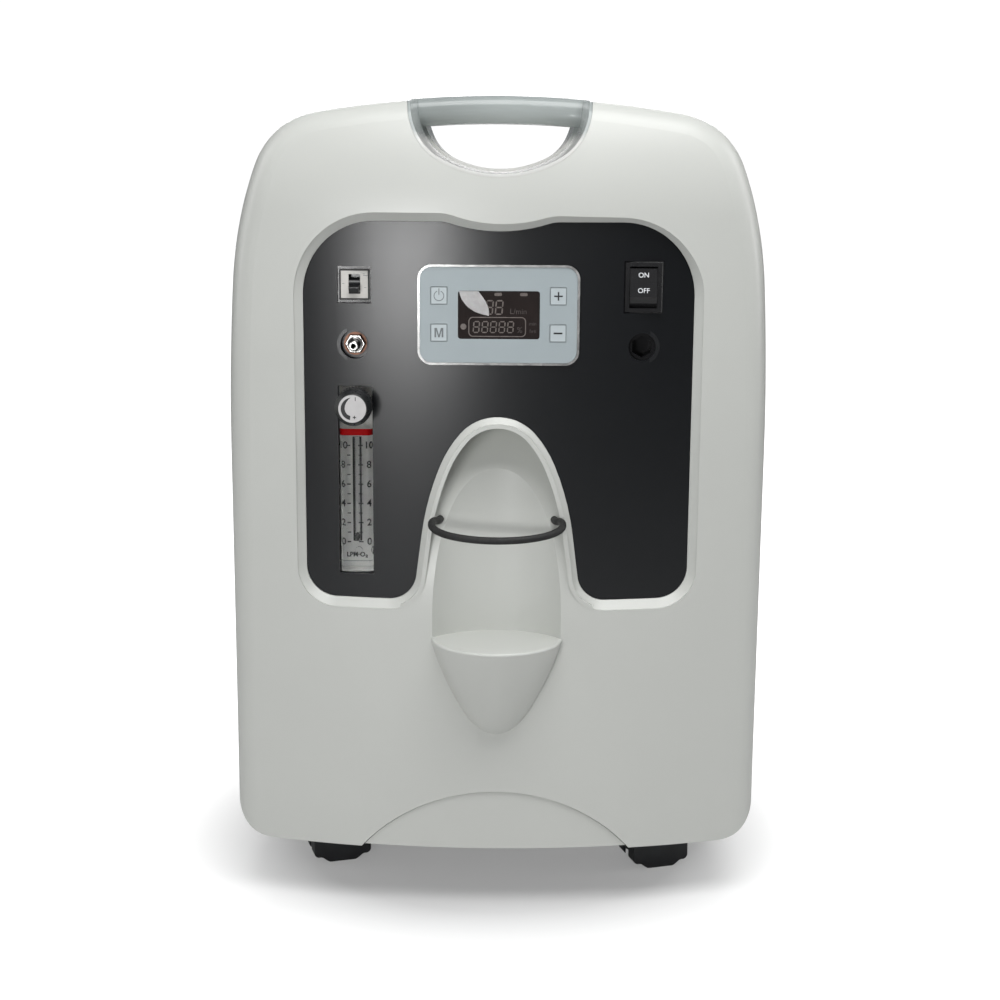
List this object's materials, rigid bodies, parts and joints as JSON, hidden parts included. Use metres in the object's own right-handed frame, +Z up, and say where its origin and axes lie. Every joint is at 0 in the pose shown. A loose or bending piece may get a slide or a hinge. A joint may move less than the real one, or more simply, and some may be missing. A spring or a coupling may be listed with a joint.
{
  "type": "oxygen concentrator",
  "caption": "Floor-standing oxygen concentrator on swivel casters, with a carry handle, bowed control panel, flow meter, display and a recessed shelf with a strap for a humidifier bottle.",
  "frame": {"origin": "centre of the footprint on the floor, under the middle of the overall box", "axes": "+X to the right seen from the front, +Y towards the back, +Z up"},
  "size_m": [0.391, 0.3845, 0.5974],
  "materials": {
    "casing_grey": "satin light warm grey moulded plastic",
    "handle_grey": "smooth light grey moulded plastic",
    "tray_grey": "plain grey moulded plastic",
    "panel_black": "fine-grained satin black",
    "bezel_chrome": "bright plated rim",
    "overlay_blue_grey": "printed film over a moulded plate",
    "lcd_dark": "dark polished window",
    "circuit_green": "coated circuit board with parts",
    "key_face": "printed key caps",
    "label_white": "off-white label plate",
    "switch_black": "polished black",
    "copper": "bright copper ring",
    "nickel_steel": "bright nickel plated metal",
    "meter_clear": "clear polished acrylic with printed scale",
    "float_black": "polished black ball",
    "valve_brass": "machined brass",
    "knob_black": "black knurled knob with a bright disc",
    "strap_rubber": "matte black rubber cord",
    "mount_rubber": "matte black rubber",
    "caster_black": "satin dark grey nylon",
    "wheel_black": "satin dark grey tread",
    "foam_black": "open-cell filter foam",
    "zinc_sheet": "bent zinc-coated sheet",
    "cast_aluminium": "as-cast aluminium",
    "tank_grey": "moulded canister",
    "fan_black": "moulded black"
  },
  "bodies": {
    "cabinet": {"front_cover": "casing_grey", "rear_cover": "casing_grey", "carry_handle": "handle_grey", "kick_panel": "casing_grey", "control_panel": "panel_black", "display_frame": "bezel_chrome", "display_overlay": "overlay_blue_grey", "display_lens": "lcd_dark", "display_board": "circuit_green", "breaker_plate": "label_white", "breaker_body": "switch_black", "switch_frame": "switch_black", "outlet_washer": "copper", "outlet_nipple": "nickel_steel", "outlet_nut": "nickel_steel", "port_plug": "switch_black", "flow_meter": "meter_clear", "flow_valve": "valve_brass", "bottle_strap": "strap_rubber", "strap_beads": "strap_rubber", "base_tray": "tray_grey", "foot_screws": "nickel_steel", "filter_foam": "foam_black", "power_inlet": "switch_black", "rear_screws": "nickel_steel", "chassis_frame": "zinc_sheet", "compressor_body": "cast_aluminium", "compressor_heads": "cast_aluminium", "compressor_mounts": "mount_rubber", "sieve_tanks": "tank_grey", "buffer_tank": "tank_grey", "valve_manifold": "cast_aluminium", "fan_frame": "fan_black", "main_board": "circuit_green"},
    "breaker_lever": {"breaker_lever": "switch_black"},
    "switch_rocker": {"switch_rocker": "switch_black"},
    "power_key": {"power_key": "key_face"},
    "mode_key": {"mode_key": "key_face"},
    "plus_key": {"plus_key": "key_face"},
    "minus_key": {"minus_key": "key_face"},
    "flow_knob": {"flow_knob": "knob_black"},
    "flow_float": {"flow_float": "float_black"},
    "fan_rotor": {"fan_rotor": "fan_black"},
    "filter_door": {"filter_door": "casing_grey"},
    "caster_front_left": {"caster_hood_front_left": "caster_black", "caster_axle_front_left": "nickel_steel"},
    "wheel_front_left_a": {"caster_wheel_front_left_a": "wheel_black"},
    "wheel_front_left_b": {"caster_wheel_front_left_b": "wheel_black"},
    "caster_front_right": {"caster_hood_front_right": "caster_black", "caster_axle_front_right": "nickel_steel"},
    "wheel_front_right_a": {"caster_wheel_front_right_a": "wheel_black"},
    "wheel_front_right_b": {"caster_wheel_front_right_b": "wheel_black"},
    "caster_rear_left": {"caster_hood_rear_left": "caster_black", "caster_axle_rear_left": "nickel_steel"},
    "wheel_rear_left_a": {"caster_wheel_rear_left_a": "wheel_black"},
    "wheel_rear_left_b": {"caster_wheel_rear_left_b": "wheel_black"},
    "caster_rear_right": {"caster_hood_rear_right": "caster_black", "caster_axle_rear_right": "nickel_steel"},
    "wheel_rear_right_a": {"caster_wheel_rear_right_a": "wheel_black"},
    "wheel_rear_right_b": {"caster_wheel_rear_right_b": "wheel_black"}
  },
  "joints": [
    {"name": "breaker_throw", "type": "hinge", "parent": "cabinet", "child": "breaker_lever", "pos_m": [-0.1015, -0.13155, 0.46], "axis": [-1, 0, 0], "range_deg": [0, 40]},
    {"name": "switch_rock", "type": "hinge", "parent": "cabinet", "child": "switch_rocker", "pos_m": [0.1015, -0.13335, 0.4595], "axis": [-1, 0, 0], "range_deg": [0, 12]},
    {"name": "power_key_press", "type": "slide", "parent": "cabinet", "child": "power_key", "axis": [0, 1, 0], "range_m": [0, 0.0005], "stiffness_N_per_m": 1500, "springref_m": -0.0004},
    {"name": "mode_key_press", "type": "slide", "parent": "cabinet", "child": "mode_key", "axis": [0, 1, 0], "range_m": [0, 0.0005], "stiffness_N_per_m": 1500, "springref_m": -0.0004},
    {"name": "plus_key_press", "type": "slide", "parent": "cabinet", "child": "plus_key", "axis": [0, 1, 0], "range_m": [0, 0.0005], "stiffness_N_per_m": 1500, "springref_m": -0.0004},
    {"name": "minus_key_press", "type": "slide", "parent": "cabinet", "child": "minus_key", "axis": [0, 1, 0], "range_m": [0, 0.0005], "stiffness_N_per_m": 1500, "springref_m": -0.0004},
    {"name": "flow_adjust", "type": "hinge", "parent": "cabinet", "child": "flow_knob", "pos_m": [-0.1015, -0.15, 0.3757], "axis": [0, -1, 0], "range_deg": [-540, 540]},
    {"name": "float_rise", "type": "slide", "parent": "cabinet", "child": "flow_float", "axis": [0, 0, 1], "range_m": [0, 0.07]},
    {"name": "fan_spin", "type": "hinge", "parent": "cabinet", "child": "fan_rotor", "pos_m": [0, -0.033, 0.225], "axis": [0, 0, 1], "continuous": true},
    {"name": "filter_door_swing", "type": "hinge", "parent": "cabinet", "child": "filter_door", "pos_m": [0, 0.1904, 0.3602], "axis": [-1, 0, 0], "range_deg": [0, 75]},
    {"name": "caster_front_left_swivel", "type": "hinge", "parent": "cabinet", "child": "caster_front_left", "pos_m": [-0.139, -0.054, 0.05], "axis": [0, 0, 1], "continuous": true},
    {"name": "wheel_front_left_a_roll", "type": "hinge", "parent": "caster_front_left", "child": "wheel_front_left_a", "pos_m": [-0.12561, -0.04991, 0.02], "axis": [-0.2924, 0.9563, 0], "continuous": true},
    {"name": "wheel_front_left_b_roll", "type": "hinge", "parent": "caster_front_left", "child": "wheel_front_left_b", "pos_m": [-0.12561, -0.04991, 0.02], "axis": [-0.2924, 0.9563, 0], "continuous": true},
    {"name": "caster_front_right_swivel", "type": "hinge", "parent": "cabinet", "child": "caster_front_right", "pos_m": [0.139, -0.054, 0.05], "axis": [0, 0, 1], "continuous": true},
    {"name": "wheel_front_right_a_roll", "type": "hinge", "parent": "caster_front_right", "child": "wheel_front_right_a", "pos_m": [0.12561, -0.05809, 0.02], "axis": [0.2924, -0.9563, 0], "continuous": true},
    {"name": "wheel_front_right_b_roll", "type": "hinge", "parent": "caster_front_right", "child": "wheel_front_right_b", "pos_m": [0.12561, -0.05809, 0.02], "axis": [0.2924, -0.9563, 0], "continuous": true},
    {"name": "caster_rear_left_swivel", "type": "hinge", "parent": "cabinet", "child": "caster_rear_left", "pos_m": [-0.139, 0.135, 0.05], "axis": [0, 0, 1], "continuous": true},
    {"name": "wheel_rear_left_a_roll", "type": "hinge", "parent": "caster_rear_left", "child": "wheel_rear_left_a", "pos_m": [-0.13538, 0.14852, 0.02], "axis": [-0.9659, 0.2588, 0], "continuous": true},
    {"name": "wheel_rear_left_b_roll", "type": "hinge", "parent": "caster_rear_left", "child": "wheel_rear_left_b", "pos_m": [-0.13538, 0.14852, 0.02], "axis": [-0.9659, 0.2588, 0], "continuous": true},
    {"name": "caster_rear_right_swivel", "type": "hinge", "parent": "cabinet", "child": "caster_rear_right", "pos_m": [0.139, 0.135, 0.05], "axis": [0, 0, 1], "continuous": true},
    {"name": "wheel_rear_right_a_roll", "type": "hinge", "parent": "caster_rear_right", "child": "wheel_rear_right_a", "pos_m": [0.13421, 0.14816, 0.02], "axis": [-0.9397, -0.342, 0], "continuous": true},
    {"name": "wheel_rear_right_b_roll", "type": "hinge", "parent": "caster_rear_right", "child": "wheel_rear_right_b", "pos_m": [0.13421, 0.14816, 0.02], "axis": [-0.9397, -0.342, 0], "continuous": true}
  ]
}
